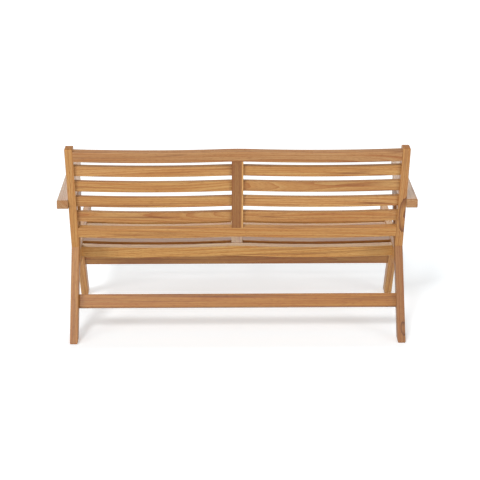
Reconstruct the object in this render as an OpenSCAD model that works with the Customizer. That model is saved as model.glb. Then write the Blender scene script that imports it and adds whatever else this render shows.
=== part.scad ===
// Two-seat slatted teak bench with open splayed side frames and flat arms.
// Front faces -Y, width runs along X, origin on the floor under the middle.
// A point of a side view is [depth, height]: depth is measured forward from
// the back edge of the rear foot, height from the floor.

/* [Overall] */
// Width over the outer faces of the two side frames
frame_w = 1330; // [1000:10:1700]
// Depth from the rear foot to the front tips of the seat side rails
depth = 830; // [790:5:900]
// Height of the tops of the back posts
height = 785; // [780:5:860]

/* [Side frames] */
// Thickness of the boards of a side frame
frame_t = 31; // [28:1:40]
// Width of the leg boards
leg_w = 50; // [46:1:60]
// Lean of the rear leg from upright, degrees
rear_leg_lean = 32.5; // [30:0.5:34]
// Lean of the front leg from upright, degrees
front_leg_lean = 32.3; // [26:0.1:36]
// Distance from the rear foot to the front foot, back edge to back edge
foot_spread = 553; // [500:1:600]
// Width of the back posts
post_w = 55; // [46:1:64]
// Lean of the back posts from upright, degrees
post_lean = 19.3; // [17:0.1:22]
// Height at which the back face of a post leaves its rear leg
kink_z = 334; // [325:1:340]
// Height of the side rails from edge to edge
side_rail_h = 60; // [58:1:70]
// Height of the top front corner of the side rails
side_rail_tip_z = 317; // [305:1:330]
// Rise of the seat toward the front, degrees
seat_rake = 1.15; // [0:0.05:3]

/* [Arms] */
// Height of the underside of the arms
arm_z = 520; // [500:1:550]
// Thickness of the arm boards
arm_t = 36; // [28:1:42]
// How far an arm stands out past the outer face of its side frame
arm_overhang = 44; // [40:1:60]
// How far the outer edge of an arm runs in toward its front end
arm_toe_in = 4; // [0:0.5:12]
// Depth at which an arm starts, level with the back of the post
arm_rear_d = 133; // [120:1:140]
// Depth at which an arm ends
arm_front_d = 680; // [560:1:760]
// Width of an arm at its front end
arm_front_w = 46; // [40:1:70]
// Radius of the corners of an arm in plan
arm_corner_r = 10; // [4:1:20]

/* [Back] */
// Thickness of the top rail, lower rail and stile
back_rail_t = 26; // [25:1:34]
// Width of the top and lower back rails
back_rail_w = 46; // [42:1:50]
// Distance of the upper edge of the top rail from the kink, along the post
top_rail_up = 463; // [450:1:466]
// Width of the middle stile
stile_w = 45; // [36:1:60]
// Width of a back slat
back_slat_w = 48; // [40:1:50]
// Clear gap between the rows of the back
back_gap = 26; // [20:1:27]
// Thickness of a back slat
back_slat_t = 15; // [12:1:18]
// How far each half of the back bulges rearward
back_sag = 9; // [0:0.5:12]

/* [Seat] */
// Depth of the back edge of the seat
seat_back_d = 309; // [300:1:325]
// How far the seat lies below the top edge of the side rails
seat_drop = 4; // [3:0.5:10]
// Width of the rear seat rail, front to back
rear_rail_w = 42; // [34:1:50]
// Height of the rear seat rail
rear_rail_h = 44; // [34:1:48]
// Width of a seat slat
seat_slat_w = 57; // [48:1:60]
// Clear gap between the seat slats
seat_gap = 26; // [18:1:28]
// Thickness of a seat slat
seat_slat_t = 15; // [13:1:16]
// How far each half of the seat is dished
seat_sag = 7; // [0:0.5:10]
// Width of the middle bearer that splits the slats
bearer_w = 46; // [38:1:60]
// Height of the middle bearer
bearer_h = 36; // [34:1:42]
// Thickness of the front seat rail under the last slat
front_rail_t = 24; // [22:1:30]
// Height of the front seat rail
front_rail_h = 34; // [33:1:35]
// Depth of the cross lap between the front seat rail and the bearer
lap = 10; // [8:0.5:12]

/* [Stretchers] */
// Height of the rear stretcher from edge to edge
rear_stretcher_h = 54; // [46:1:64]
// Thickness of the rear stretcher
rear_stretcher_t = 25; // [22:1:28]
// Distance of the middle of the rear stretcher from the floor, along the leg
rear_stretcher_up = 181; // [140:1:230]
// How far the rear stretcher lies forward of the back of the rear legs
rear_stretcher_set = 20; // [4:1:21]
// Height of the front stretcher from edge to edge
front_stretcher_h = 52; // [44:1:56]
// Thickness of the front stretcher
front_stretcher_t = 25; // [22:1:32]
// Distance of the lower edge of the front stretcher from the floor, along the leg
front_stretcher_up = 201; // [150:1:208]
// How far the front stretcher lies forward of the back of the front legs
front_stretcher_set = 6; // [2:1:12]

/* [Joinery] */
// Clearance between a wooden tongue or pin and its hole, each side
fit = 0.15; // [0.05:0.05:0.3]
// Length of the tenons of the slats and the stile
tenon_l = 8; // [6:0.5:10]
// Shoulder of a tenon on the edges of its board
tenon_shoulder = 5; // [3:0.5:7]
// Shoulder of a slat tenon on the faces of its slat
slat_cheek = 3; // [2:0.5:4]
// Shoulder of a stile tenon on the faces of the stile
stile_cheek = 8; // [6:0.5:9]
// Diameter of the dowels inside the side frames
dowel_d = 10; // [8:0.5:11]
// Length of the dowels inside the side frames
dowel_l = 52; // [40:1:54]
// Spacing of the two dowels of a side frame joint
dowel_gap = 22; // [18:1:24]
// Distance of the upper dowel from the upper end of the post joint
post_dowel_edge = 16; // [12:1:18]
// Diameter of the dowels at the ends of the rails
pin_d = 8; // [6:0.5:8]
// Length of the dowels at the ends of the rails
pin_l = 40; // [30:1:44]
// Distance of the rail bolt and the rail dowel from the edges of the rail
bolt_edge = 12; // [11:0.5:12.5]
// Diameter of the rail bolts
bolt_d = 6; // [5:0.5:6]
// Diameter of the bolt heads
bolt_head_d = 11; // [10:0.5:12]
// Height of the bolt heads
bolt_head_h = 4.5; // [3:0.5:5]
// Width across the corners of the key socket in the bolt heads
bolt_key = 4.6; // [3:0.1:5]
// Depth of the key socket in the bolt heads
bolt_key_depth = 3; // [1.5:0.5:3]
// Diameter of the washers under the bolt heads
washer_d = 15; // [13:0.5:16]
// Thickness of the washers
washer_t = 1.5; // [1:0.5:2]
// Depth of the sinkings for the bolt heads
sink_depth = 7; // [6.5:0.5:9]
// How far a bolt reaches into the end of its rail
bolt_reach = 45; // [42:1:60]
// Distance of the barrel nut from the end of its rail
nut_in = 36; // [30:1:36]
// Diameter of the barrel nuts
nut_d = 10; // [9:0.5:12]
// Length of the barrel nuts
nut_l = 14; // [11:0.5:15]
// Diameter of the wood screws
screw_d = 6; // [4:0.5:6]
// Diameter of the heads of the wood screws
screw_head_d = 11; // [8:0.5:11]
// Height of the heads of the wood screws
screw_head_h = 4; // [3:0.5:5]
// Length of the screw that holds an arm to its post, under the head
arm_screw_l = 60; // [50:1:62]
// Length of the screw that holds the bearer to the front seat rail
bearer_screw_l = 32; // [30:1:34]
// Diameter of the wooden plugs over the arm screws
plug_d = 12; // [11.5:0.5:16]
// Length of the wooden plugs
plug_l = 8; // [5:0.5:10]

/* [Hidden] */
$fn = 48;
teak = "#c68f58";
teak_pale = "#cf9d64";
birch = "#d9bf94";
steel = "#9a9b9c";
key_sides = 6;
// Rows of slats in the back and in the seat
back_rows = 4;
seat_rows = 5;
// Steps along each half of a curved board, and along the curve of an arm
curve_steps = 24;
arm_steps = 12;
corner_step = 15;
// A cut runs this far past the face that it opens
over = 1;
// A tenon is rooted this deep in its board
root = 4;

inner_x = frame_w / 2 - frame_t;
outer_x = frame_w / 2;
frame_mid_x = outer_x - frame_t / 2;
arm_outer_x = outer_x + arm_overhang;

// Directions in the side view: up each board, and square to it, forward
level = [1, 0];
plumb = [0, 1];
rear_leg_dir = [sin(rear_leg_lean), cos(rear_leg_lean)];
rear_leg_fwd = [cos(rear_leg_lean), -sin(rear_leg_lean)];
front_leg_dir = [-sin(front_leg_lean), cos(front_leg_lean)];
front_leg_fwd = [cos(front_leg_lean), sin(front_leg_lean)];
post_dir = [-sin(post_lean), cos(post_lean)];
post_fwd = [cos(post_lean), sin(post_lean)];
seat_dir = [cos(seat_rake), sin(seat_rake)];
seat_up = [-sin(seat_rake), cos(seat_rake)];

function turn(a, b) = a.x * b.y - a.y * b.x;
// Point where the line through p along u meets the line through q along v
function meet(p, u, q, v) = p + u * turn(q - p, v) / turn(u, v);

rear_foot = [0, 0];
front_foot = [foot_spread, 0];
rear_leg_front = leg_w * rear_leg_fwd;
front_leg_front = front_foot + leg_w * front_leg_fwd;
kink = meet(rear_foot, rear_leg_dir, [0, kink_z], level);
post_front = kink + post_w * post_fwd;
post_top = [0, height];
side_tip = [depth, side_rail_tip_z];
side_under = side_tip - side_rail_h * seat_up;
arm_under = [0, arm_z];
arm_middle = [0, arm_z + arm_t / 2];
seat_corner = meet(side_tip - seat_drop * seat_up, seat_dir, [seat_back_d, 0], plumb);
post_joint_top = meet(post_front, post_dir, rear_foot, rear_leg_dir);
leg_top_front = meet(rear_leg_front, rear_leg_dir, arm_under, level);
arm_screw_point = meet(kink + post_w / 2 * post_fwd, post_dir, arm_middle, level);

// The outer edge of an arm runs in toward the front, and its inner edge runs out
function arm_side_x(d) =
    arm_outer_x - arm_toe_in * (d - arm_rear_d) / (arm_front_d - arm_rear_d);
arm_curve_out = arm_side_x(arm_front_d) - arm_front_w - inner_x;
arm_screw_head_x = arm_side_x(arm_screw_point.x) - plug_l - screw_head_h;
arm_screw_tip_x = arm_screw_head_x - arm_screw_l;

// Outlines of the boards of a side frame, in the side view
rear_leg_outline = [
    rear_foot,
    meet(rear_leg_front, rear_leg_dir, rear_foot, level),
    leg_top_front,
    meet(rear_foot, rear_leg_dir, arm_under, level)];
front_leg_outline = [
    front_foot,
    meet(front_leg_front, front_leg_dir, front_foot, level),
    meet(front_leg_front, front_leg_dir, side_under, seat_dir),
    meet(front_foot, front_leg_dir, side_under, seat_dir)];
side_rail_outline = [
    meet(side_under, seat_dir, rear_leg_front, rear_leg_dir),
    meet(side_under, seat_dir, side_tip, plumb),
    side_tip,
    meet(side_tip, seat_dir, rear_leg_front, rear_leg_dir)];
function post_outline(grow) = let (front = post_front + grow * post_fwd) [
    kink,
    meet(front, post_dir, rear_foot, rear_leg_dir),
    meet(front, post_dir, post_top, level),
    meet(kink, post_dir, post_top, level)];

// Lower edges of the rows of the back, measured up the posts from the kink
top_rail_low = top_rail_up - back_rail_w;
function back_slat_low(row) = top_rail_low - row * (back_slat_w + back_gap);
lower_rail_top = back_slat_low(back_rows) - back_gap;
lower_rail_low = lower_rail_top - back_rail_w;
// The fronts of the slats are level with the fronts of the rails
back_slat_set = back_rail_t - back_slat_t;

// Back edges of the seat boards, measured forward from the seat corner
function seat_slat_back(row) = rear_rail_w + seat_gap + (row - 1) * (seat_slat_w + seat_gap);
bearer_front = seat_slat_back(seat_rows) + seat_slat_w;
front_rail_back = bearer_front - (seat_slat_w + front_rail_t) / 2;
front_rail_low = seat_slat_t + front_rail_h;

// Rail ends that bolt to a side frame, and the height of each rail
RAILS = ["top", "lower", "seat_rear", "seat_front", "rear_stretcher", "front_stretcher"];
function rail_h(rail) =
    rail == "seat_rear" ? rear_rail_h :
    rail == "seat_front" ? front_rail_h :
    rail == "rear_stretcher" ? rear_stretcher_h :
    rail == "front_stretcher" ? front_stretcher_h : back_rail_w;
bolt_seat_x = outer_x - sink_depth + washer_t;
bolt_tip_x = inner_x - bolt_reach;

// Places a member of the side view: Z runs up it, and Y square to it, rearward
module along(point, lean) {
    translate([0, depth / 2 - point.x, point.y]) rotate([lean, 0, 0]) children();
}

module in_back() { along(kink, -post_lean) children(); }

module in_seat() { along(seat_corner, -seat_rake) children(); }

module in_rear_leg() { along(rear_foot, rear_leg_lean) children(); }

module in_front_leg() { along(front_foot, -front_leg_lean) children(); }

// The middle of the lower edge of a rail that bolts to the side frames
module in_rail(rail) {
    if (rail == "top")
        in_back() translate([0, -back_rail_t / 2, top_rail_low]) children();
    if (rail == "lower")
        in_back() translate([0, -back_rail_t / 2, lower_rail_low]) children();
    if (rail == "seat_rear")
        in_seat() translate([0, -rear_rail_w / 2, -rear_rail_h]) children();
    if (rail == "seat_front")
        in_seat() translate([0, -front_rail_back - front_rail_t / 2, -front_rail_low]) children();
    if (rail == "rear_stretcher")
        in_rear_leg() translate([0, -rear_stretcher_set - rear_stretcher_t / 2,
            rear_stretcher_up - rear_stretcher_h / 2]) children();
    if (rail == "front_stretcher")
        in_front_leg() translate([0, -front_stretcher_set - front_stretcher_t / 2,
            front_stretcher_up]) children();
}

module on_both_sides() {
    for (side = [0, 1]) mirror([side, 0, 0]) children();
}

module on_right() { mirror([1, 0, 0]) children(); }

// A round bar along X from x0 to x1
module bar(x0, x1, d) {
    translate([x0, 0, 0]) rotate([0, 90, 0]) cylinder(h = x1 - x0, d = d);
}

// A board of a side frame, cut from its outline in the side view
module plate(outline, x0, x1) {
    translate([x1, depth / 2, 0]) rotate([90, 0, -90])
        linear_extrude(x1 - x0) polygon(outline);
}

// Curve of a board at x: an arc on each half, joined by a soft hollow
function arc_at(x, mid_w, sag) =
    let (u = (x - mid_w / 2) / (inner_x - mid_w / 2)) 4 * sag * u * (1 - u);
function curve_at(x, mid_w, sag) =
    abs(x) > mid_w ? arc_at(abs(x), mid_w, sag) : arc_at(mid_w, mid_w, sag) * pow(x / mid_w, 2);

// Outline of a curved board from x0 to x1, t thick on the low side of its curve
module curved_outline(x0, x1, mid_w, sag, t) {
    steps = ceil(curve_steps * (x1 - x0) / inner_x);
    xs = [for (i = [0 : steps]) x0 + (x1 - x0) * i / steps];
    polygon(concat(
        [for (x = xs) [x, curve_at(x, mid_w, sag)]],
        [for (i = [steps : -1 : 0]) [xs[i], curve_at(xs[i], mid_w, sag) - t]]));
}

// A board of the back, bulging rearward
module back_board(x0, x1, low, w, set, t) {
    in_back() translate([0, -set, low]) linear_extrude(w)
        curved_outline(x0, x1, stile_w, back_sag, t);
}

// A board of the seat, dished downward
module seat_board(x0, x1, back, w, drop, t) {
    in_seat() translate([0, -back, -drop - t]) rotate([90, 0, 0]) linear_extrude(w)
        mirror([0, 1]) curved_outline(x0, x1, bearer_w, seat_sag, t);
}

// Tenon of a back slat between x0 and x1, grown by the clearance for its mortise
module back_tenon(row, x0, x1, grow) {
    in_back() translate([x0, -back_rail_t + slat_cheek - grow,
        back_slat_low(row) + tenon_shoulder - grow])
        cube([x1 - x0, back_slat_t - 2 * (slat_cheek - grow),
            back_slat_w - 2 * (tenon_shoulder - grow)]);
}

// Tenon of a seat slat between x0 and x1, grown by the clearance for its mortise
module seat_tenon(row, x0, x1, grow) {
    in_seat() translate([x0, -seat_slat_back(row) - seat_slat_w + tenon_shoulder - grow,
        -seat_slat_t + slat_cheek - grow])
        cube([x1 - x0, seat_slat_w - 2 * (tenon_shoulder - grow),
            seat_slat_t - 2 * (slat_cheek - grow)]);
}

// The full height of the stile with its two tenons, or the hole for them
module stile_tenons(grow) {
    in_back() translate([-stile_w / 2 + tenon_shoulder - grow, -back_rail_t + stile_cheek - grow,
        lower_rail_top - tenon_l - grow])
        cube([stile_w - 2 * (tenon_shoulder - grow), back_rail_t - 2 * (stile_cheek - grow),
            top_rail_low - lower_rail_top + 2 * (tenon_l + grow)]);
}

// Holes in the left end of a rail for its bolt, barrel nut and dowel
module rail_end_holes(rail) {
    in_rail(rail) {
        translate([0, 0, bolt_edge]) bar(bolt_tip_x - over, inner_x + over, bolt_d + 2 * fit);
        translate([inner_x - nut_in, 0, -over - seat_sag])
            cylinder(h = bolt_edge + nut_l / 2 + fit + over + seat_sag, d = nut_d + 2 * fit);
        translate([0, 0, rail_h(rail) - bolt_edge])
            bar(inner_x - pin_l / 2 - fit, inner_x + over, pin_d + 2 * fit);
    }
}

// Holes in the left side frame for the same bolt and dowel
module frame_holes(rail) {
    in_rail(rail) {
        translate([0, 0, bolt_edge]) {
            bar(inner_x - over, outer_x + over, bolt_d + 2 * fit);
            bar(outer_x - sink_depth, outer_x + over, washer_d + 2 * fit);
        }
        translate([0, 0, rail_h(rail) - bolt_edge])
            bar(inner_x - over, inner_x + pin_l / 2 + fit, pin_d + 2 * fit);
    }
}

// Dowel pairs of the left side frame, as solids or grown into their holes
module post_dowels(grow) {
    for (step = [0, dowel_gap])
        in_rear_leg() translate([frame_mid_x, 0, norm(post_joint_top) - post_dowel_edge - step])
            rotate([90, 0, 0]) dowel(grow);
}

module side_rail_dowels(grow) {
    for (step = [-dowel_gap / 2, dowel_gap / 2])
        along(meet(side_tip - (side_rail_h / 2 + step) * seat_up, seat_dir,
            rear_leg_front, rear_leg_dir), -seat_rake)
            translate([frame_mid_x, 0, 0]) rotate([90, 0, 0]) dowel(grow);
}

module front_leg_dowels(grow) {
    for (step = [-dowel_gap / 2, dowel_gap / 2])
        along(meet(front_foot + (leg_w / 2 + step) * front_leg_fwd, front_leg_dir,
            side_under, seat_dir), -front_leg_lean)
            translate([frame_mid_x, 0, 0]) dowel(grow);
}

module arm_dowels(grow) {
    for (step = [-dowel_gap / 2, dowel_gap / 2])
        along(meet((leg_w / 2 + step) * rear_leg_fwd, rear_leg_dir, arm_under, level),
            rear_leg_lean)
            translate([frame_mid_x, 0, 0]) dowel(grow);
}

module dowel(grow) { cylinder(h = dowel_l + 2 * grow, d = dowel_d + 2 * grow, center = true); }

// The two dowels between the bearer and the rear seat rail
module bearer_dowels(grow) {
    for (z = [-bolt_edge, bolt_edge - bearer_h])
        in_seat() translate([0, -rear_rail_w, z]) rotate([90, 0, 0])
            cylinder(h = pin_l + 2 * grow, d = pin_d + 2 * grow, center = true);
}

module rear_leg() {
    color(teak) difference() {
        plate(rear_leg_outline, inner_x, outer_x);
        post_dowels(fit);
        side_rail_dowels(fit);
        arm_dowels(fit);
        frame_holes("rear_stretcher");
    }
}

module back_post() {
    color(teak) difference() {
        plate(post_outline(0), inner_x, outer_x);
        post_dowels(fit);
        frame_holes("top");
        frame_holes("lower");
        for (row = [1 : back_rows]) back_tenon(row, inner_x - over, inner_x + tenon_l + fit, fit);
        along(arm_screw_point, 0) bar(arm_screw_tip_x - fit, outer_x + over, screw_d + 2 * fit);
    }
}

module front_leg() {
    color(teak) difference() {
        plate(front_leg_outline, inner_x, outer_x);
        front_leg_dowels(fit);
        frame_holes("front_stretcher");
    }
}

module seat_side_rail() {
    color(teak) difference() {
        plate(side_rail_outline, inner_x, outer_x);
        side_rail_dowels(fit);
        front_leg_dowels(fit);
        frame_holes("seat_rear");
        frame_holes("seat_front");
        for (row = [1 : seat_rows]) seat_tenon(row, inner_x - over, inner_x + tenon_l + fit, fit);
    }
}

// Inner edge of an arm: straight over the leg, then curving out to the front
function arm_inner_x(d) =
    inner_x + arm_curve_out * sin(90 * (d - leg_top_front.x) / (arm_front_d - leg_top_front.x));

function corner(x, d, from) = [for (a = [from : corner_step : from + 90])
    [x + arm_corner_r * cos(a), d + arm_corner_r * sin(a)]];

module armrest() {
    corner_d = arm_front_d - arm_corner_r;
    curve_ds = [for (i = [arm_steps - 1 : -1 : 0])
        leg_top_front.x + (corner_d - leg_top_front.x) * i / arm_steps];
    outline = concat(
        [[outer_x + fit, arm_rear_d], [arm_outer_x, arm_rear_d]],
        corner(arm_side_x(corner_d) - arm_corner_r, corner_d, 0),
        corner(arm_side_x(corner_d) - arm_front_w + arm_corner_r, corner_d, 90),
        [for (d = curve_ds) [arm_inner_x(d), d]],
        [[inner_x, arm_screw_point.x], [outer_x + fit, arm_screw_point.x]]);
    color(teak) difference() {
        translate([0, 0, arm_z]) linear_extrude(arm_t)
            polygon([for (p = outline) [p.x, depth / 2 - p.y]]);
        plate(post_outline(fit), inner_x - over, outer_x + fit);
        arm_dowels(fit);
        along(arm_screw_point, 0) {
            bar(outer_x - over, arm_outer_x, screw_d + 2 * fit);
            bar(arm_screw_head_x, arm_outer_x + over, plug_d + 2 * fit);
        }
    }
}

module top_rail() {
    color(teak) difference() {
        back_board(-inner_x, inner_x, top_rail_low, back_rail_w, 0, back_rail_t);
        on_both_sides() rail_end_holes("top");
        stile_tenons(fit);
    }
}

module lower_back_rail() {
    color(teak) difference() {
        back_board(-inner_x, inner_x, lower_rail_low, back_rail_w, 0, back_rail_t);
        on_both_sides() rail_end_holes("lower");
        stile_tenons(fit);
    }
}

module back_stile() {
    color(teak) difference() {
        union() {
            in_back() translate([-stile_w / 2, -back_rail_t, lower_rail_top])
                cube([stile_w, back_rail_t, top_rail_low - lower_rail_top]);
            stile_tenons(0);
        }
        on_both_sides() for (row = [1 : back_rows])
            back_tenon(row, stile_w / 2 - tenon_l - fit, stile_w / 2 + over, fit);
    }
}

module back_slat(row) {
    color(teak_pale) union() {
        back_board(stile_w / 2, inner_x, back_slat_low(row), back_slat_w,
            back_slat_set, back_slat_t);
        back_tenon(row, stile_w / 2 - tenon_l, stile_w / 2 + root, 0);
        back_tenon(row, inner_x - root, inner_x + tenon_l, 0);
    }
}

module rear_seat_rail() {
    color(teak) difference() {
        seat_board(-inner_x, inner_x, 0, rear_rail_w, 0, rear_rail_h);
        on_both_sides() rail_end_holes("seat_rear");
        bearer_dowels(fit);
    }
}

module front_seat_rail() {
    color(teak) difference() {
        seat_board(-inner_x, inner_x, front_rail_back, front_rail_t, seat_slat_t, front_rail_h);
        on_both_sides() rail_end_holes("seat_front");
        in_seat() translate([-bearer_w / 2 - fit, -front_rail_back - front_rail_t - over,
            -seat_slat_t - lap])
            cube([bearer_w + 2 * fit, front_rail_t + 2 * over, lap + over]);
        bearer_screw_hole();
    }
}

module seat_centre_bearer() {
    color(teak) difference() {
        in_seat() translate([-bearer_w / 2, -bearer_front, -bearer_h])
            cube([bearer_w, bearer_front - rear_rail_w, bearer_h]);
        in_seat() translate([-bearer_w / 2 - over, -front_rail_back - front_rail_t - fit,
            -bearer_h - over])
            cube([bearer_w + 2 * over, front_rail_t + 2 * fit,
                bearer_h + over - seat_slat_t - lap]);
        bearer_dowels(fit);
        bearer_screw_hole();
        on_both_sides() for (row = [1 : seat_rows])
            seat_tenon(row, bearer_w / 2 - tenon_l - fit, bearer_w / 2 + over, fit);
    }
}

module seat_slat(row) {
    color(teak_pale) union() {
        seat_board(bearer_w / 2, inner_x, seat_slat_back(row), seat_slat_w, 0, seat_slat_t);
        seat_tenon(row, bearer_w / 2 - tenon_l, bearer_w / 2 + root, 0);
        seat_tenon(row, inner_x - root, inner_x + tenon_l, 0);
    }
}

// A straight stretcher between the side frames
module stretcher(rail, t) {
    color(teak) difference() {
        in_rail(rail) translate([-inner_x, -t / 2, 0]) cube([2 * inner_x, t, rail_h(rail)]);
        on_both_sides() rail_end_holes(rail);
    }
}

module rear_stretcher() { stretcher("rear_stretcher", rear_stretcher_t); }

module front_stretcher() { stretcher("front_stretcher", front_stretcher_t); }

module frame_bolts() {
    color(steel) on_both_sides() for (rail = RAILS)
        in_rail(rail) translate([0, 0, bolt_edge]) difference() {
            union() {
                bar(bolt_tip_x, bolt_seat_x + over, bolt_d);
                bar(bolt_seat_x, bolt_seat_x + bolt_head_h, bolt_head_d);
            }
            translate([bolt_seat_x + bolt_head_h - bolt_key_depth, 0, 0]) rotate([0, 90, 0])
                cylinder(h = bolt_key_depth + over, d = bolt_key, $fn = key_sides);
        }
}

module frame_washers() {
    color(steel) on_both_sides() for (rail = RAILS)
        in_rail(rail) translate([0, 0, bolt_edge]) difference() {
            bar(bolt_seat_x - washer_t, bolt_seat_x, washer_d);
            bar(bolt_seat_x - washer_t - over, bolt_seat_x + over, bolt_d + 2 * fit);
        }
}

module barrel_nuts() {
    color(steel) on_both_sides() for (rail = RAILS)
        in_rail(rail) difference() {
            translate([inner_x - nut_in, 0, bolt_edge])
                cylinder(h = nut_l, d = nut_d, center = true);
            translate([0, 0, bolt_edge]) bar(bolt_tip_x, inner_x, bolt_d + 2 * fit);
        }
}

module rail_dowels() {
    color(birch) {
        on_both_sides() for (rail = RAILS)
            in_rail(rail) translate([0, 0, rail_h(rail) - bolt_edge])
                bar(inner_x - pin_l / 2, inner_x + pin_l / 2, pin_d);
        bearer_dowels(0);
    }
}

module frame_dowels() {
    color(birch) on_both_sides() {
        post_dowels(0);
        side_rail_dowels(0);
        front_leg_dowels(0);
        arm_dowels(0);
    }
}

module arm_screws() {
    color(steel) on_both_sides() along(arm_screw_point, 0) {
        bar(arm_screw_tip_x, arm_screw_head_x + over, screw_d);
        bar(arm_screw_head_x, arm_screw_head_x + screw_head_h, screw_head_d);
    }
}

module arm_plugs() {
    color(teak) on_both_sides() along(arm_screw_point, 0)
        bar(arm_screw_head_x + screw_head_h, arm_side_x(arm_screw_point.x), plug_d);
}

// The screw that comes up through the front seat rail into the bearer
module at_bearer_screw() {
    in_seat() translate([0, -front_rail_back - front_rail_t / 2, -front_rail_low]) children();
}

module bearer_screw() {
    color(steel) at_bearer_screw() {
        cylinder(h = screw_head_h, d = screw_head_d);
        cylinder(h = screw_head_h + bearer_screw_l, d = screw_d);
    }
}

module bearer_screw_hole() {
    at_bearer_screw() {
        translate([0, 0, -over]) cylinder(h = screw_head_h + over, d = screw_head_d + 2 * fit);
        cylinder(h = screw_head_h + bearer_screw_l + fit, d = screw_d + 2 * fit);
    }
}

rear_leg();  // left_rear_leg
on_right() rear_leg();  // right_rear_leg
back_post();  // left_back_post
on_right() back_post();  // right_back_post
front_leg();  // left_front_leg
on_right() front_leg();  // right_front_leg
seat_side_rail();  // left_seat_side_rail
on_right() seat_side_rail();  // right_seat_side_rail
armrest();  // left_armrest
on_right() armrest();  // right_armrest
top_rail();
lower_back_rail();
back_stile();
back_slat(1);  // left_back_slat_1
back_slat(2);  // left_back_slat_2
back_slat(3);  // left_back_slat_3
back_slat(4);  // left_back_slat_4
on_right() back_slat(1);  // right_back_slat_1
on_right() back_slat(2);  // right_back_slat_2
on_right() back_slat(3);  // right_back_slat_3
on_right() back_slat(4);  // right_back_slat_4
rear_seat_rail();
front_seat_rail();
seat_centre_bearer();
seat_slat(1);  // left_seat_slat_1
seat_slat(2);  // left_seat_slat_2
seat_slat(3);  // left_seat_slat_3
seat_slat(4);  // left_seat_slat_4
seat_slat(5);  // left_seat_slat_5
on_right() seat_slat(1);  // right_seat_slat_1
on_right() seat_slat(2);  // right_seat_slat_2
on_right() seat_slat(3);  // right_seat_slat_3
on_right() seat_slat(4);  // right_seat_slat_4
on_right() seat_slat(5);  // right_seat_slat_5
rear_stretcher();
front_stretcher();
frame_bolts();
frame_washers();
barrel_nuts();
rail_dowels();
frame_dowels();
arm_screws();
arm_plugs();
bearer_screw();
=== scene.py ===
# Two-seat slatted teak bench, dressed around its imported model.
# Metres, +Z up, front toward -Y, "left" is the sitter's left, +X.
import math
import random

import bpy
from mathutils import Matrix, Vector


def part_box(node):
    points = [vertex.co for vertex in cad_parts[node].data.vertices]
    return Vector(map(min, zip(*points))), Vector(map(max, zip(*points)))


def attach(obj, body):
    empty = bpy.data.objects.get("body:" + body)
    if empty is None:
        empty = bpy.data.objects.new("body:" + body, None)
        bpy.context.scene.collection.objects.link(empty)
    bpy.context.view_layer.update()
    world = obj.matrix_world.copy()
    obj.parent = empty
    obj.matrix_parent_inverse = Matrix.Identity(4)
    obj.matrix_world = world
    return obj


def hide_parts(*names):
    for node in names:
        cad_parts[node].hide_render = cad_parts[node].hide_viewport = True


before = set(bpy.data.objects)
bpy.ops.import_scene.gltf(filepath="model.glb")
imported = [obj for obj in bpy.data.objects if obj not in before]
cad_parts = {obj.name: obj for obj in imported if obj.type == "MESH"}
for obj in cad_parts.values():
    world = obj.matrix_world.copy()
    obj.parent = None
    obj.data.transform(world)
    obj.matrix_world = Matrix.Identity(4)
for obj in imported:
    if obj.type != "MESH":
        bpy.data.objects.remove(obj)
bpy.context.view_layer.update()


# Rear legs
# Sawn teak boards that lean forward from the floor to the arms, where they are doweled.
# They are planed, sanded and oiled, with soft arrises and glued joints only just eased.
MM = 0.001
SIDES = ("left", "right")
REAR_LEG_LEAN = math.radians(32.5)
LEG_ARRIS = 3.0 * MM
FOOT_ARRIS = 4.5 * MM
JOINT_ARRIS = 1 * MM
# Rims of holes and the edges of mortises are shorter than this and stay sharp
SHORT_EDGE = 12 * MM
SHARP_ANGLE = math.radians(40)
ARRIS_STEPS = 3
# Points closer than these are one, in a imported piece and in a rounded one
SAME_POINT = 0.01 * MM
SAME_ROUNDED_POINT = 0.02 * MM
FLAT_ANGLE = math.radians(0.05)
LEFTWARD = Vector((1, 0, 0))
# Two directions run the same way when the cosine between them is above this
MOSTLY = 0.7

# Ground colours of the oiled boards: a common log, a red one and a dark one. On the rear
# legs the two darker ones are partly painted shade
AMBER = "#C1975A"
CHESTNUT = "#A7793B"
UMBER = "#976C3C"

# What darkens the ground: soft streaks, late wood, mineral lines, vessels, knots, end grain
STREAK_STAIN = "#E3C3A2"
LATE_STAIN = "#E0C1A6"
MINERAL_STAIN = "#A68064"
VESSEL_STAIN = "#BF987A"
KNOT_STAIN = "#93683F"
END_STAIN = "#E8D8BC"
# Growth rings of plantation teak are 4 to 8 mm wide; a higher power narrows the late wood
RING_WIDTH = 6.5 * MM
LATE_POWER = 4.0
# Sapwood is paler, and starts this far from the middle of the log, with a soft edge
SAPWOOD = "#E6BE7C"
SAP_RADIUS = 115 * MM
SAP_EDGE = 3 * MM
SAP_SHARE = 0.8
# The middle of the log lies between these distances in front of a board's own middle or
# behind it, and up to the nearer one to either side
PITH_NEAR = 35 * MM
PITH_FAR = 90 * MM
# How far the log's middle runs off the board's own direction, metres for each metre
PITH_SLOPE = 0.035
# Boards are taken from anywhere along this many metres of grain, so that no two match
GRAIN_RUN = 50

# Noise scales are for each metre along, across and through a board.
# The grain wanders by up to 6 mm to each side, over about 0.6 m
WANDER_SCALE = (1.6, 16, 16)
WANDER = 6 * MM
# Streaks are about 7 mm wide and 0.4 m long, and follow the rings
STREAK_ALONG = 2.4
STREAK_OUTWARD = 150.0
STREAK_RANGE = (0.3, 0.7)
# Mineral lines are rare, up to 14 mm wide and 0.9 m long
MINERAL_SCALE = (1.1, 70, 70)
MINERAL_RANGE = (0.56, 0.75)
MINERAL_SHARE = 0.7
# Vessels are 0.3 mm wide; they are drawn 1 mm wide and 20 mm long so that they show
VESSEL_SCALE = (45, 900, 900)
VESSEL_RANGE = (0.56, 0.74)
VESSEL_SHARE = 0.8
VESSEL_DEPTH = 0.3 * MM
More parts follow.
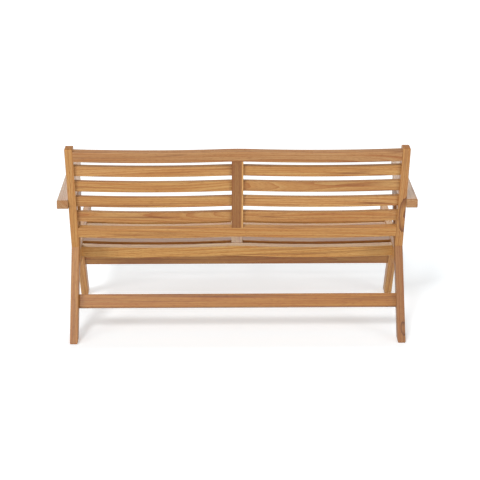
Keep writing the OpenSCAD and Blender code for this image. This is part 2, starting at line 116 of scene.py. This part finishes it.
# A knot has dark ovals at each half of its size, and fades out just beyond its whole size
KNOT_LINES = 2.0
KNOT_POWER = 1.6
KNOT_FADE = (1.3, 1.05)
# The grain pushes the ovals aside by this much of the knot's size, less its average
KNOT_WANDER = 0.5
KNOT_SHIFT = Vector([KNOT_WANDER / 2] * 3)
# Where the knot of a board without one lies, in knot sizes
NO_KNOT = (9, 9, 9)
# Oil leaves a satin face, and the cut fibres that stand open on end grain are duller
TEAK_IOR = 1.5
SATIN = (0.38, 0.52)
END_DULLNESS = 0.3
BUMP_STRENGTH = 0.25
# Every board's place in its log is drawn at random, and comes out the same in each run
random.seed(11)


def linear(hex_colour):
    """An sRGB hex colour as the linear colour that a shader takes."""
    parts = [int(hex_colour[i : i + 2], 16) / 255 for i in (1, 3, 5)]
    return [p / 12.92 if p <= 0.04045 else ((p + 0.055) / 1.055) ** 2.4 for p in parts] + [1]


def add_node(tree, kind, settings=None, links=None):
    """Adds a node, sets its properties or input values, and links its inputs."""
    made = tree.nodes.new(kind)
    for name, value in (settings or {}).items():
        if isinstance(name, str) and hasattr(made, name):
            setattr(made, name, value)
        else:
            made.inputs[name].default_value = value
    for name, source in (links or {}).items():
        tree.links.new(source, made.inputs[name])
    return made


def new_material(name):
    """An empty material and its node tree."""
    material = bpy.data.materials.new(name)
    material.use_nodes = True
    material.node_tree.nodes.clear()
    return material, material.node_tree


def make_teak():
    """Oiled teak, sanded to 180 grit: satin, with dark vessel lines along the grain."""
    material, tree = new_material("oiled_teak")
    board, ground, end, knot = (
        add_node(tree, "ShaderNodeAttribute", {"attribute_name": name}).outputs[output]
        for name, output in (("board", "Vector"), ("ground", "Color"),
                             ("end_grain", "Fac"), ("knot", "Vector")))

    # The wandering grain, and how far each point then is from the middle of the log
    slow = add_node(tree, "ShaderNodeVectorMath",
                    {"operation": "MULTIPLY", 1: WANDER_SCALE}, {0: board})
    wander = add_node(tree, "ShaderNodeTexNoise", {"Scale": 1.0, "Detail": 2.0},
                      {"Vector": slow.outputs[0]})
    aside = add_node(tree, "ShaderNodeVectorMath",
                     {"operation": "MULTIPLY_ADD", 1: (0, 2 * WANDER, 2 * WANDER),
                      2: (0, -WANDER, -WANDER)}, {0: wander.outputs["Color"]})
    wandered = add_node(tree, "ShaderNodeVectorMath", {"operation": "ADD"},
                        {0: board, 1: aside.outputs[0]})
    radial = add_node(tree, "ShaderNodeVectorMath",
                      {"operation": "MULTIPLY", 1: (0, 1, 1)}, {0: wandered.outputs[0]})
    radius = add_node(tree, "ShaderNodeVectorMath", {"operation": "LENGTH"},
                      {0: radial.outputs[0]}).outputs["Value"]
    length = add_node(tree, "ShaderNodeSeparateXYZ", {}, {0: board}).outputs["X"]

    # Sapwood is paler and yellower than the heart
    sap = add_node(tree, "ShaderNodeMapRange",
                   {"From Min": SAP_RADIUS, "From Max": SAP_RADIUS + SAP_EDGE,
                    "To Max": SAP_SHARE}, {"Value": radius})
    sapped = add_node(tree, "ShaderNodeMix", {"data_type": "RGBA", 7: linear(SAPWOOD)},
                      {0: sap.outputs[0], 6: ground})

    # Each ring darkens slowly to its late wood and ends at a sharp line
    ring = add_node(tree, "ShaderNodeMath", {"operation": "DIVIDE", 1: RING_WIDTH},
                    {0: radius})
    saw = add_node(tree, "ShaderNodeMath", {"operation": "FRACT"}, {0: ring.outputs[0]})
    late = add_node(tree, "ShaderNodeMath", {"operation": "POWER", 1: LATE_POWER},
                    {0: saw.outputs[0]})

    # Streaks
    along = add_node(tree, "ShaderNodeMath", {"operation": "MULTIPLY", 1: STREAK_ALONG},
                     {0: length})
    outward = add_node(tree, "ShaderNodeMath", {"operation": "MULTIPLY", 1: STREAK_OUTWARD},
                       {0: radius})
    streak_place = add_node(tree, "ShaderNodeCombineXYZ", {},
                            {"X": along.outputs[0], "Y": outward.outputs[0]})
    streak = add_node(tree, "ShaderNodeTexNoise",
                      {"Scale": 1.0, "Detail": 3.0, "Roughness": 0.6},
                      {"Vector": streak_place.outputs[0]})
    streaks = add_node(tree, "ShaderNodeMapRange",
                       {"From Min": STREAK_RANGE[0], "From Max": STREAK_RANGE[1]},
                       {"Value": streak.outputs["Fac"]})

    # Mineral lines
    mineral_place = add_node(tree, "ShaderNodeVectorMath",
                             {"operation": "MULTIPLY", 1: MINERAL_SCALE},
                             {0: wandered.outputs[0]})
    mineral = add_node(tree, "ShaderNodeTexNoise", {"Scale": 1.0, "Detail": 2.0},
                       {"Vector": mineral_place.outputs[0]})
    minerals = add_node(tree, "ShaderNodeMapRange",
                        {"From Min": MINERAL_RANGE[0], "From Max": MINERAL_RANGE[1],
                         "To Max": MINERAL_SHARE},
                        {"Value": mineral.outputs["Fac"]})

    # A knot beside the surface: dark lines run round it in long ovals
    knot_place = add_node(tree, "ShaderNodeVectorMath",
                          {"operation": "MULTIPLY_ADD", 1: [KNOT_WANDER] * 3},
                          {0: mineral.outputs["Color"], 2: knot})
    oval = add_node(tree, "ShaderNodeVectorMath", {"operation": "LENGTH"},
                    {0: knot_place.outputs[0]}).outputs["Value"]
    ovals = add_node(tree, "ShaderNodeMath", {"operation": "MULTIPLY", 1: KNOT_LINES},
                     {0: oval})
    oval_saw = add_node(tree, "ShaderNodeMath", {"operation": "FRACT"}, {0: ovals.outputs[0]})
    oval_line = add_node(tree, "ShaderNodeMath", {"operation": "POWER", 1: KNOT_POWER},
                         {0: oval_saw.outputs[0]})
    knots = add_node(tree, "ShaderNodeMapRange",
                     {"From Min": KNOT_FADE[0], "From Max": KNOT_FADE[1]},
                     {"Value": oval, "To Max": oval_line.outputs[0]})

    # Vessels
    vessel_place = add_node(tree, "ShaderNodeVectorMath",
                            {"operation": "MULTIPLY", 1: VESSEL_SCALE}, {0: board})
    vessel = add_node(tree, "ShaderNodeTexNoise", {"Scale": 1.0, "Detail": 1.0},
                      {"Vector": vessel_place.outputs[0]})
    vessels = add_node(tree, "ShaderNodeMapRange",
                       {"From Min": VESSEL_RANGE[0], "From Max": VESSEL_RANGE[1],
                        "To Max": VESSEL_SHARE},
                       {"Value": vessel.outputs["Fac"]})

    # Each stain multiplies what lies under it; end grain drinks more oil than the faces do
    colour = sapped.outputs[2]
    for share, stain in ((streaks.outputs[0], STREAK_STAIN), (late.outputs[0], LATE_STAIN),
                         (minerals.outputs[0], MINERAL_STAIN), (knots.outputs[0], KNOT_STAIN),
                         (vessels.outputs[0], VESSEL_STAIN), (end, END_STAIN)):
        layer = add_node(tree, "ShaderNodeMix",
                         {"data_type": "RGBA", "blend_type": "MULTIPLY", 7: linear(stain)},
                         {0: share, 6: colour})
        colour = layer.outputs[2]

    rough = add_node(tree, "ShaderNodeMapRange", {"To Min": SATIN[0], "To Max": SATIN[1]},
                     {"Value": vessel.outputs["Fac"]})
    dull = add_node(tree, "ShaderNodeMath", {"operation": "MULTIPLY_ADD", 1: END_DULLNESS},
                    {0: end, 2: rough.outputs[0]})
    height = add_node(tree, "ShaderNodeMath", {"operation": "ADD"},
                      {0: vessels.outputs[0], 1: late.outputs[0]})
    bump = add_node(tree, "ShaderNodeBump",
                    {"invert": True, "Strength": BUMP_STRENGTH, "Distance": VESSEL_DEPTH},
                    {"Height": height.outputs[0]})
    shader = add_node(tree, "ShaderNodeBsdfPrincipled", {"IOR": TEAK_IOR}, {
        "Base Color": colour, "Roughness": dull.outputs[0], "Normal": bump.outputs[0]})
    add_node(tree, "ShaderNodeOutputMaterial", {}, {"Surface": shader.outputs[0]})
    return material


teak = make_teak()


def take_piece(node, name):
    """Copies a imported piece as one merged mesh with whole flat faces."""
    piece = bpy.data.objects.new(name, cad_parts[node].data.copy())
    bpy.context.scene.collection.objects.link(piece)
    bpy.ops.object.select_all(action="DESELECT")
    bpy.context.view_layer.objects.active = piece
    piece.select_set(True)
    bpy.ops.object.mode_set(mode="EDIT")
    bpy.ops.mesh.select_all(action="SELECT")
    bpy.ops.mesh.remove_doubles(threshold=SAME_POINT)
    bpy.ops.mesh.dissolve_limited(angle_limit=FLAT_ANGLE)
    bpy.ops.object.mode_set(mode="OBJECT")
    return piece


def round_edges(piece, radius_of, shortest=SHORT_EDGE):
    """Rounds sharp edges by the radius that their middle and direction call for."""
    mesh = piece.data
    sides = {}
    for face in mesh.polygons:
        for key in face.edge_keys:
            sides.setdefault(key, []).append(face.normal)
    radii = []
    for edge in mesh.edges:
        start, end = (mesh.vertices[i].co for i in edge.vertices)
        run = end - start
        pair = sides[edge.key]
        sharp = len(pair) == 2 and pair[0].angle(pair[1], 0) > SHARP_ANGLE
        long = run.length > shortest
        radii.append(radius_of((start + end) / 2, run.normalized()) if sharp and long else 0)
    widest = max(radii)
    weights = mesh.attributes.new("bevel_weight_edge", "FLOAT", "EDGE")
    weights.data.foreach_set("value", [radius / widest for radius in radii])
    bpy.ops.object.modifier_add(type="BEVEL")
    bevel = piece.modifiers[-1]
    bevel.limit_method = "WEIGHT"
    bevel.width = widest
    bevel.segments = ARRIS_STEPS
    bevel.use_clamp_overlap = False
    bpy.ops.object.modifier_apply(modifier=bevel.name)
    mesh.attributes.remove(mesh.attributes["bevel_weight_edge"])
    bpy.ops.object.mode_set(mode="EDIT")
    bpy.ops.mesh.select_all(action="SELECT")
    bpy.ops.mesh.remove_doubles(threshold=SAME_ROUNDED_POINT)
    bpy.ops.object.mode_set(mode="OBJECT")


def cover(piece, material):
    """Gives an object one material all over."""
    piece.data.materials.clear()
    piece.data.materials.append(material)


def declare(piece, node, material):
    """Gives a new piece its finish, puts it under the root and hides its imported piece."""
    cover(piece, material)
    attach(piece, "root")
    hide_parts(node)


def finish_board(piece, node, along, across, ground=AMBER, pith=None, painted_edge_shade=1,
                 knot=None):
    """pith is where the middle of the log lies, across and through the board, at random if
    None. painted_edge_shade is painted shade, darkening the faces that look the way of
    across.
    knot is the middle, half length and half width of a knot.
    """
    bpy.ops.object.shade_smooth_by_angle(angle=SHARP_ANGLE)
    bpy.ops.object.modifier_add(type="WEIGHTED_NORMAL")
    piece.modifiers[-1].keep_sharp = True
    bpy.ops.object.modifier_apply(modifier=piece.modifiers[-1].name)
    through = along.cross(across)
    middle = sum((Vector(corner) for corner in piece.bound_box), Vector()) / 8
    aside = random.uniform(-1, 1) * PITH_NEAR
    behind = random.choice((-1, 1)) * random.uniform(PITH_NEAR, PITH_FAR)
    shift = Vector((random.uniform(0, GRAIN_RUN), *(pith or (aside, behind))))
    slopes = [random.uniform(-1, 1) * PITH_SLOPE for _ in range(2)]
    mesh = piece.data
    board = mesh.attributes.new("board", "FLOAT_VECTOR", "POINT")
    for vertex, value in zip(mesh.vertices, board.data):
        place = vertex.co - middle
        run = place.dot(along)
        value.vector = shift + Vector((run, place.dot(across) + slopes[0] * run,
                                       place.dot(through) + slopes[1] * run))
    # Each vertex's place from the middle of the knot, in half lengths and half widths of it
    knots = mesh.attributes.new("knot", "FLOAT_VECTOR", "POINT")
    knots.data.foreach_set("vector", NO_KNOT * len(mesh.vertices))
    if knot:
        heart, half_length, half_width = knot
        for vertex, value in zip(mesh.vertices, knots.data):
            place = vertex.co - heart
            value.vector = Vector((place.dot(along) / half_length,
                                   place.dot(across) / half_width,
                                   place.dot(through) / half_width)) - KNOT_SHIFT
    ends = mesh.attributes.new("end_grain", "FLOAT", "FACE")
    colours = mesh.attributes.new("ground", "FLOAT_VECTOR", "FACE")
    tint = Vector(linear(ground)[:3])
    for face, end, colour in zip(mesh.polygons, ends.data, colours.data):
        end.value = 1.0 if abs(face.normal.dot(along)) > MOSTLY else 0.0
        # Faces that look the way of across may be darkened here by painted shade
        colour.vector = tint * (painted_edge_shade if face.normal.dot(across) > MOSTLY else 1)
    declare(piece, node, teak)


def leaning(angle):
    """The way up a board that leans forward from upright by an angle."""
    return Vector((0, -math.sin(angle), math.cos(angle)))


def side_board(node, name, lean, arris, low_end, high_end, ground=AMBER, knot=None):
    """Dresses a board of a side frame that leans by an angle, forward being positive."""
    along = leaning(lean)
    piece = take_piece(node, name)
    heights = [v.co.dot(along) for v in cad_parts[node].data.vertices]
    middle = (min(heights) + max(heights)) / 2

    def radius_of(spot, run):
        if abs(run.dot(along)) > MOSTLY:
            return arris
        return high_end if spot.dot(along) > middle else low_end

    round_edges(piece, radius_of)
    finish_board(piece, node, along, LEFTWARD.cross(along), ground, knot=knot)


# Middle, half length and half width of a knot: one beside the right foot
LEG_KNOTS = {"right": (Vector((-0.660, 0.376, 0.046)), 34 * MM, 15 * MM)}

# The rear legs are darker than the posts partly as painted shade, offsetting the stronger
# light on their rear faces, which look upward; the right one is also a darker board
for side, ground in zip(SIDES, (CHESTNUT, UMBER)):
    side_board(f"{side}_rear_leg", f"rear_leg_{side}", REAR_LEG_LEAN,
               LEG_ARRIS, FOOT_ARRIS, JOINT_ARRIS, ground, LEG_KNOTS.get(side))


# Back posts
# Teak boards doweled to the backs of the rear legs, from where they lean rearward with
# the back. Their tops are rounded over by hand, and the right one has a long knot.
POST_LEAN = math.radians(-19.3)
POST_TOP_ARRIS = 5 * MM
TAN = "#BC9259"
# Middle, half length and half width of the knot
POST_KNOTS = {"right": (Vector((-0.664, 0.244, 0.482)), 98 * MM, 27 * MM)}

for side, ground in zip(SIDES, (AMBER, TAN)):
    side_board(f"{side}_back_post", f"back_post_{side}", POST_LEAN,
               LEG_ARRIS, JOINT_ARRIS, POST_TOP_ARRIS, ground, POST_KNOTS.get(side))


# Front legs
# Shorter teak boards that lean rearward from the floor, doweled to the seat side rails.
FRONT_LEG_LEAN = math.radians(-32.3)

for side in SIDES:
    side_board(f"{side}_front_leg", f"front_leg_{side}", FRONT_LEG_LEAN,
               LEG_ARRIS, FOOT_ARRIS, JOINT_ARRIS)


# Seat side rails
# Deep teak boards doweled to the rear legs. They run forward and carry the seat.
SIDE_RAIL_LEAN = math.radians(88.85)

for side in SIDES:
    side_board(f"{side}_seat_side_rail", f"seat_side_rail_{side}", SIDE_RAIL_LEAN,
               LEG_ARRIS, JOINT_ARRIS, LEG_ARRIS)


# Armrests
# Flat teak boards housed round the posts and screwed to them, with well rounded edges.
# Their ground is greyed as painted sheen, standing in for the pale reflection on their tops.
ARM_ARRIS = 4 * MM
# Teak greyed by painted sheen, the pale reflection that the arm tops catch
PAINTED_SHEEN_TEAK = "#BEA589"
# The steps round a corner of the plan are longer than this
CORNER_EDGE = 2 * MM
# Within the width of the frames the edges stay sharp behind the first line, where an arm
# fits round its post, and below it behind the second, where it sits on the leg
POST_LINE = 0.21
LEG_LINE = 0.02
FORWARD = Vector((0, -1, 0))
# The edges of the plan rise by less than this share of their length
LEVEL_RISE = 0.3
arm_low, arm_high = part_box("left_armrest")
frame_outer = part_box("left_rear_leg")[1][0]


def arm_radius(spot, run):
    """Radius of an arris of an arm: all round its plan, above and below."""
    inside = abs(spot.x) < frame_outer + MM
    if inside and (spot.y > POST_LINE or (spot.y > LEG_LINE and spot.z < arm_low[2] + MM)):
        return 0
    level = spot.z > arm_high[2] - MM or spot.z < arm_low[2] + MM
    return ARM_ARRIS if level and abs(run.z) < LEVEL_RISE else 0


for side in SIDES:
    arm = take_piece(f"{side}_armrest", f"armrest_{side}")
    round_edges(arm, arm_radius, CORNER_EDGE)
    finish_board(arm, f"{side}_armrest", FORWARD, LEFTWARD, PAINTED_SHEEN_TEAK)


# Rails and stile of the back
# Thick teak boards sawn to a shallow double curve and bolted between the posts, and the
# upright stile, tenoned into both, that ties them together at the middle.
RAIL_ARRIS = 3 * MM
RUSSET = "#B58D5D"
UP_POST = leaning(POST_LEAN)


def rail_radius(spot, run):
    """Radius of an arris of a rail: only those along the width of the bench."""
    return RAIL_ARRIS if abs(run.x) > MOSTLY else 0


# The rails are cut beside the middle of the log, so their grain runs in straight lines
RAIL_PITH = (45 * MM, 68 * MM)
for node, ground in (("top_rail", RUSSET), ("lower_back_rail", AMBER)):
    rail = take_piece(node, f"curved_{node}")
    round_edges(rail, rail_radius)
    finish_board(rail, node, LEFTWARD, UP_POST, ground, RAIL_PITH)

STILE_ARRIS = 2 * MM
# The arrises that are rounded run along the stile, with a cosine above this
STILE_RUN = 0.9
# The stile was sawn at the edge of the log, so one of its arrises is sapwood
STILE_PITH = (-92 * MM, 30 * MM)
stile = take_piece("back_stile", "stile")
round_edges(stile, lambda spot, run: STILE_ARRIS * (abs(run.dot(UP_POST)) > STILE_RUN))
finish_board(stile, "back_stile", UP_POST, LEFTWARD, UMBER, STILE_PITH)


# Back slats
# Thin curved teak boards, four rows on each side of the stile, tenoned at both ends.
SLAT_ARRIS = 2.5 * MM
# An edge whose middle is nearer than this to a slat's end is a tenon's and stays sharp
SLAT_STOP = 9 * MM
# Their upper edges are painted this much darker: painted shade, as from the row above
PAINTED_EDGE_SHADE = 0.84
HONEY = "#C69D62"
# From the top row down
BACK_GROUNDS = {"left": (HONEY, AMBER, AMBER, TAN), "right": (AMBER, TAN, HONEY, TAN)}


def slat(node, name, across, ground, pith=None, painted_edge_shade=1):
    """Dresses a slat; its tenons stay square."""
    piece = take_piece(node, name)
    low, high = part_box(node)
    middle = (low[0] + high[0]) / 2
    reach = (high[0] - low[0]) / 2 - SLAT_STOP

    def radius_of(spot, run):
        return SLAT_ARRIS if abs(run.x) > MOSTLY and abs(spot.x - middle) < reach else 0

    round_edges(piece, radius_of)
    finish_board(piece, node, LEFTWARD, across, ground, pith, painted_edge_shade)


# Every other row is sawn beside the middle of the log, as the rails are
for side in SIDES:
    for row, ground in enumerate(BACK_GROUNDS[side], 1):
        slat(f"{side}_back_slat_{row}", f"back_slat_{row}_{side}", UP_POST, ground,
             RAIL_PITH if row % 2 else None, PAINTED_EDGE_SHADE)


# Seat
# Ten dished teak slats, tenoned into the side rails and a middle bearer that a rear rail
# and a front rail carry. The rails are bolted to the side frames.
SEAT_FORWARD = leaning(SIDE_RAIL_LEAN)
STRAW = "#D3AC69"
# From the rear row forward
SEAT_GROUNDS = (CHESTNUT, HONEY, AMBER, HONEY, AMBER)

for node, ground in (("rear_seat_rail", STRAW), ("front_seat_rail", RUSSET)):
    rail = take_piece(node, f"dished_{node}")
    round_edges(rail, rail_radius)
    finish_board(rail, node, LEFTWARD, SEAT_FORWARD, ground)

bearer = take_piece("seat_centre_bearer", "seat_bearer")
round_edges(bearer,
            lambda spot, run: STILE_ARRIS * (abs(run.dot(SEAT_FORWARD)) > STILE_RUN))
finish_board(bearer, "seat_centre_bearer", SEAT_FORWARD, LEFTWARD)

for side in SIDES:
    for row, ground in enumerate(SEAT_GROUNDS, 1):
        slat(f"{side}_seat_slat_{row}", f"seat_slat_{row}_{side}", SEAT_FORWARD, ground)


# Stretchers
# Straight teak boards between the legs, front and rear, each square to its own legs.
# They are bolted through the legs as the rails are, and have a darker, redder ground.
for node, lean in (("rear_stretcher", REAR_LEG_LEAN), ("front_stretcher", FRONT_LEG_LEAN)):
    stretcher = take_piece(node, f"lower_{node}")
    round_edges(stretcher, rail_radius)
    finish_board(stretcher, node, LEFTWARD, leaning(lean), CHESTNUT)


# Hardware
# Zinc plated steel: bolts with round heads and washers in the round sinkings of the
# frames, barrel nuts in the rails, and the screws of the arms and of the bearer.
ZINC = "#B4B6B5"
HEAD_ARRIS = 0.8 * MM
# The rim of a bolt head turns in steps longer than this
HEAD_STEP = 0.3 * MM
# The rim lies further from the middle of the bench than this
HEAD_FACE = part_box("frame_bolts")[1][0] - 0.1 * MM
# Plating spangles are about a millimetre wide
SPANGLE = 1 * MM
ZINC_ROUGHNESS = (0.22, 0.42)


def make_zinc():
    """Bright zinc plate: a cool metal, finely mottled where the plating crystals differ."""
    material, tree = new_material("zinc_plated_steel")
    place = add_node(tree, "ShaderNodeTexCoord").outputs["Object"]
    spangle = add_node(tree, "ShaderNodeTexNoise", {"Scale": 1 / SPANGLE, "Detail": 1.0},
                       {"Vector": place})
    rough = add_node(tree, "ShaderNodeMapRange",
                     {"To Min": ZINC_ROUGHNESS[0], "To Max": ZINC_ROUGHNESS[1]},
                     {"Value": spangle.outputs["Fac"]})
    shader = add_node(tree, "ShaderNodeBsdfPrincipled",
                      {"Base Color": linear(ZINC), "Metallic": 1.0},
                      {"Roughness": rough.outputs[0]})
    add_node(tree, "ShaderNodeOutputMaterial", {}, {"Surface": shader.outputs[0]})
    return material


zinc = make_zinc()

# The rims of the bolt heads are rounded over; the thread ends are left as turned
bolts = take_piece("frame_bolts", "bolts")
round_edges(bolts, lambda spot, run: HEAD_ARRIS * (abs(spot.x) > HEAD_FACE), HEAD_STEP)
bpy.ops.object.shade_smooth_by_angle(angle=SHARP_ANGLE)
declare(bolts, "frame_bolts", zinc)

for node in ("frame_washers", "barrel_nuts", "arm_screws", "bearer_screw"):
    cover(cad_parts[node], zinc)


# Dowels and plugs
# Turned birch dowels glued into the frames and the rail ends, and teak plugs that hide
# the screws of the arms, sanded flush.
BIRCH = "#E2C79A"
BIRCH_ROUGHNESS = 0.6
# Its fibres show as flecks of about 2.5 mm
FIBRE = 2.5 * MM


def make_birch():
    """Turned birch: pale, plain and matt, with faint fibres a few millimetres long."""
    material, tree = new_material("turned_birch")
    place = add_node(tree, "ShaderNodeTexCoord").outputs["Object"]
    fibre = add_node(tree, "ShaderNodeTexNoise", {"Scale": 1 / FIBRE, "Detail": 2.0},
                     {"Vector": place})
    colour = add_node(tree, "ShaderNodeMix",
                      {"data_type": "RGBA", 6: linear(BIRCH), 7: linear(HONEY)},
                      {0: fibre.outputs["Fac"]})
    shader = add_node(tree, "ShaderNodeBsdfPrincipled", {"Roughness": BIRCH_ROUGHNESS},
                      {"Base Color": colour.outputs[2]})
    add_node(tree, "ShaderNodeOutputMaterial", {}, {"Surface": shader.outputs[0]})
    return material


birch = make_birch()
for node in ("rail_dowels", "frame_dowels"):
    cover(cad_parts[node], birch)

plugs = take_piece("arm_plugs", "plugs")
# The plugs take the arms' ground, greyed by the same painted sheen
finish_board(plugs, "arm_plugs", FORWARD, Vector((0, 0, 1)), PAINTED_SHEEN_TEAK)


# Studio
# White paper floor and world. Two low soft lights and a higher one stand behind the bench,
# and beyond its front a high light for the floor and a low panel for the boards to mirror.
FLOOR_SIZE = 60
# The floor as the bench sees it, and as the camera does, where a glow keeps it white
FLOOR_MATT = "#E6E6E6"
FLOOR_SHADE = "#ECF1F4"
FLOOR_GLOW = 0.355
WHITE = (1, 1, 1, 1)
WORLD_LEVEL = 0.32


def seen_directly(tree):
    """1 for rays from the camera and rays that mirror or glass pass on, else 0."""
    path = add_node(tree, "ShaderNodeLightPath")
    seen = path.outputs["Is Camera Ray"]
    for ray in ("Is Glossy Ray", "Is Transmission Ray"):
        seen = add_node(tree, "ShaderNodeMath", {"operation": "MAXIMUM"},
                        {0: seen, 1: path.outputs[ray]}).outputs[0]
    return seen


def make_paper():
    """White paper: matt, and for the camera it glows and still keeps a soft shadow."""
    material, tree = new_material("paper_floor")
    matt = add_node(tree, "ShaderNodeBsdfDiffuse", {"Color": linear(FLOOR_MATT)})
    shaded = add_node(tree, "ShaderNodeBsdfDiffuse", {"Color": linear(FLOOR_SHADE)})
    glow = add_node(tree, "ShaderNodeEmission", {"Color": WHITE, "Strength": FLOOR_GLOW})
    both = add_node(tree, "ShaderNodeAddShader", {},
                    {0: shaded.outputs[0], 1: glow.outputs[0]})
    mix = add_node(tree, "ShaderNodeMixShader", {},
                   {0: seen_directly(tree), 1: matt.outputs[0], 2: both.outputs[0]})
    add_node(tree, "ShaderNodeOutputMaterial", {}, {"Surface": mix.outputs[0]})
    return material


bpy.ops.object.select_all(action="DESELECT")
bpy.ops.mesh.primitive_plane_add(size=FLOOR_SIZE)
floor = bpy.context.object
floor.name = "floor"
floor.data.materials.append(make_paper())

world = bpy.data.worlds.new("studio")
bpy.context.scene.world = world
world.use_nodes = True
tree = world.node_tree
tree.nodes.clear()
strength = add_node(tree, "ShaderNodeMapRange", {"To Min": WORLD_LEVEL, "To Max": 1.0},
                    {"Value": seen_directly(tree)})
sky = add_node(tree, "ShaderNodeBackground", {"Color": WHITE},
               {"Strength": strength.outputs[0]})
add_node(tree, "ShaderNodeOutputWorld", {}, {"Surface": sky.outputs[0]})


def soft_sun(name, azimuth, elevation, spread, level, mirrored=True):
    """A broad, even light from far away, which gloss may mirror.

    Azimuth turns from the rear toward the left; it, elevation and spread are in degrees.
    """
    lamp = bpy.data.lights.new(name, "SUN")
    lamp.angle = math.radians(spread)
    lamp.energy = level * math.pi
    holder = bpy.data.objects.new(name, lamp)
    holder.visible_glossy = mirrored
    bpy.context.scene.collection.objects.link(holder)
    turn, rise = math.radians(azimuth), math.radians(elevation)
    toward = Vector((math.sin(turn) * math.cos(rise), math.cos(turn) * math.cos(rise),
                     math.sin(rise)))
    holder.rotation_euler = toward.to_track_quat("Z", "Y").to_euler()


soft_sun("key_left", 46, 8, 25, 0.48)
soft_sun("key_right", -46, 8, 25, 0.38)
soft_sun("high_key", 22, 45, 13, 0.41)
# Mirrored, this one would draw a pale line along the tops of the slats
soft_sun("front_high", 180, 40, 16, 0.30, mirrored=False)
soft_sun("front_panel", 180, 20, 24, 0.08)


# Camera
# It stands six metres behind the bench, 2.4 m up and a little toward the sitter's left,
# and looks down at it as in the photograph.
CAMERA_PLACE = (0.0629, 6.192, 2.4325)
CAMERA_PITCH = math.radians(19.07)
CAMERA_YAW = math.radians(0.705)
FRAME_PX = 480
FOCAL_PX = 1580
SENSOR_MM = 36

eye = bpy.data.cameras.new("camera")
eye.sensor_width = SENSOR_MM
eye.lens = FOCAL_PX / FRAME_PX * SENSOR_MM
camera = bpy.data.objects.new("camera", eye)
bpy.context.scene.collection.objects.link(camera)
camera.location = CAMERA_PLACE
camera.rotation_euler = (math.pi / 2 - CAMERA_PITCH, 0, math.pi - CAMERA_YAW)
bpy.context.scene.camera = camera
bpy.context.scene.view_settings.view_transform = "Standard"
